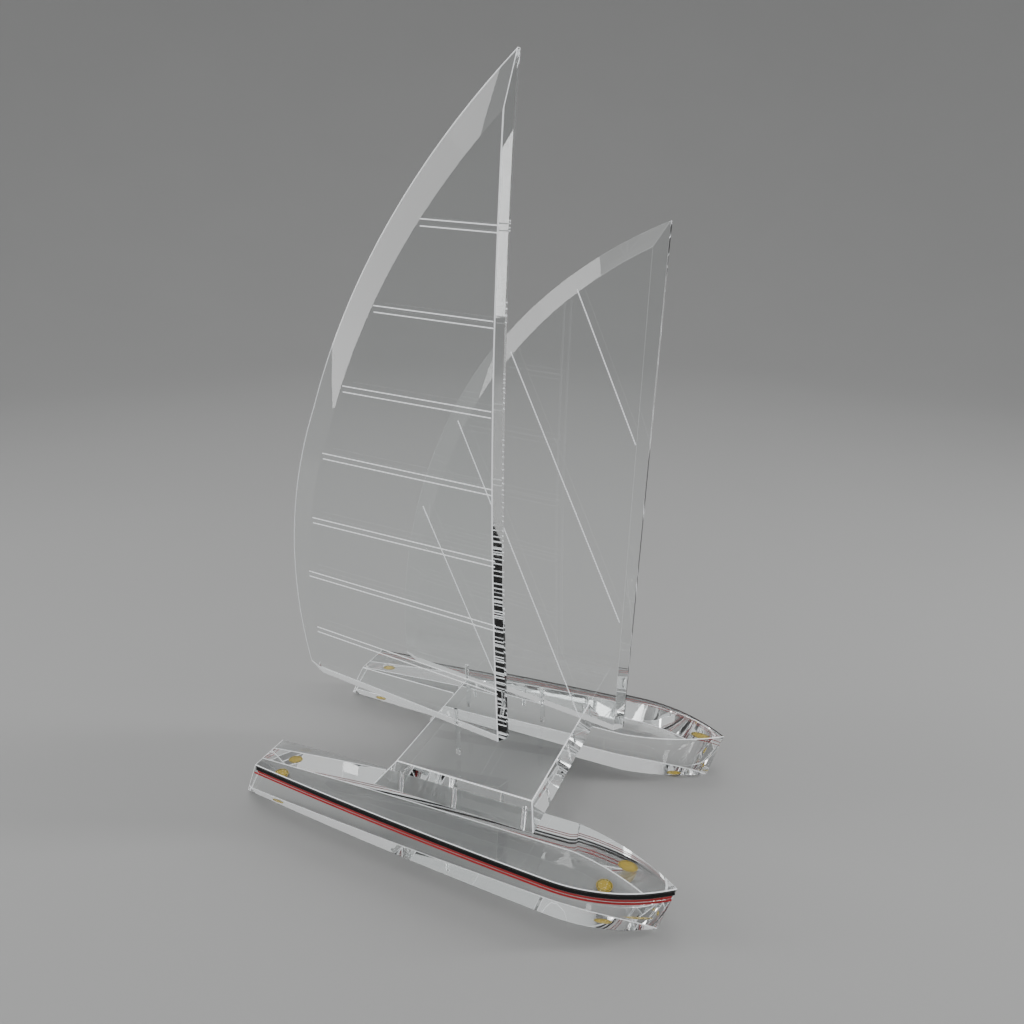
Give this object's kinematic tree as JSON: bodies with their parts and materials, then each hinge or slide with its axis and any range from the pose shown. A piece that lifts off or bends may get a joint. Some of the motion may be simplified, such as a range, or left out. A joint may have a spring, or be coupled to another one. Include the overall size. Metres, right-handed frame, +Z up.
{
  "type": "catamaran sailboat display model",
  "caption": "Clear polished display model of a catamaran: raked hulls under a bevelled deck plate, with a main sail and a jib standing on pins above it.",
  "frame": {"origin": "centre of the footprint, on the surface the feet stand on", "axes": "+X to the bow, +Y to port, +Z up the sails"},
  "size_m": [0.396, 0.2546, 0.6008],
  "materials": {
    "clear_acrylic": "clear cast acrylic, polished",
    "clear_rod": "clear acrylic rod",
    "black_vinyl": "black pinstripe tape",
    "red_vinyl": "red pinstripe tape",
    "amber_rubber": "amber bumper feet"
  },
  "bodies": {
    "boat": {"starboard_hull": "clear_acrylic", "port_hull": "clear_acrylic", "deck_plate": "clear_acrylic", "starboard_black_stripe": "black_vinyl", "port_black_stripe": "black_vinyl", "starboard_upper_red_stripe": "red_vinyl", "starboard_lower_red_stripe": "red_vinyl", "port_upper_red_stripe": "red_vinyl", "port_lower_red_stripe": "red_vinyl", "starboard_bow_foot": "amber_rubber", "starboard_stern_foot": "amber_rubber", "port_bow_foot": "amber_rubber", "port_stern_foot": "amber_rubber", "starboard_dowels": "clear_rod", "port_dowels": "clear_rod", "main_pin": "clear_rod", "jib_fore_pin": "clear_rod", "jib_aft_pin": "clear_rod"},
    "main": {"main_sail": "clear_acrylic"},
    "jib": {"jib_sail": "clear_acrylic"}
  },
  "joints": [
    {"name": "main_sail_lift", "type": "slide", "parent": "boat", "child": "main", "axis": [0, 0, 1], "range_m": [0, 0.06]},
    {"name": "jib_sail_lift", "type": "slide", "parent": "boat", "child": "jib", "axis": [0, 0, 1], "range_m": [0, 0.06]}
  ]
}
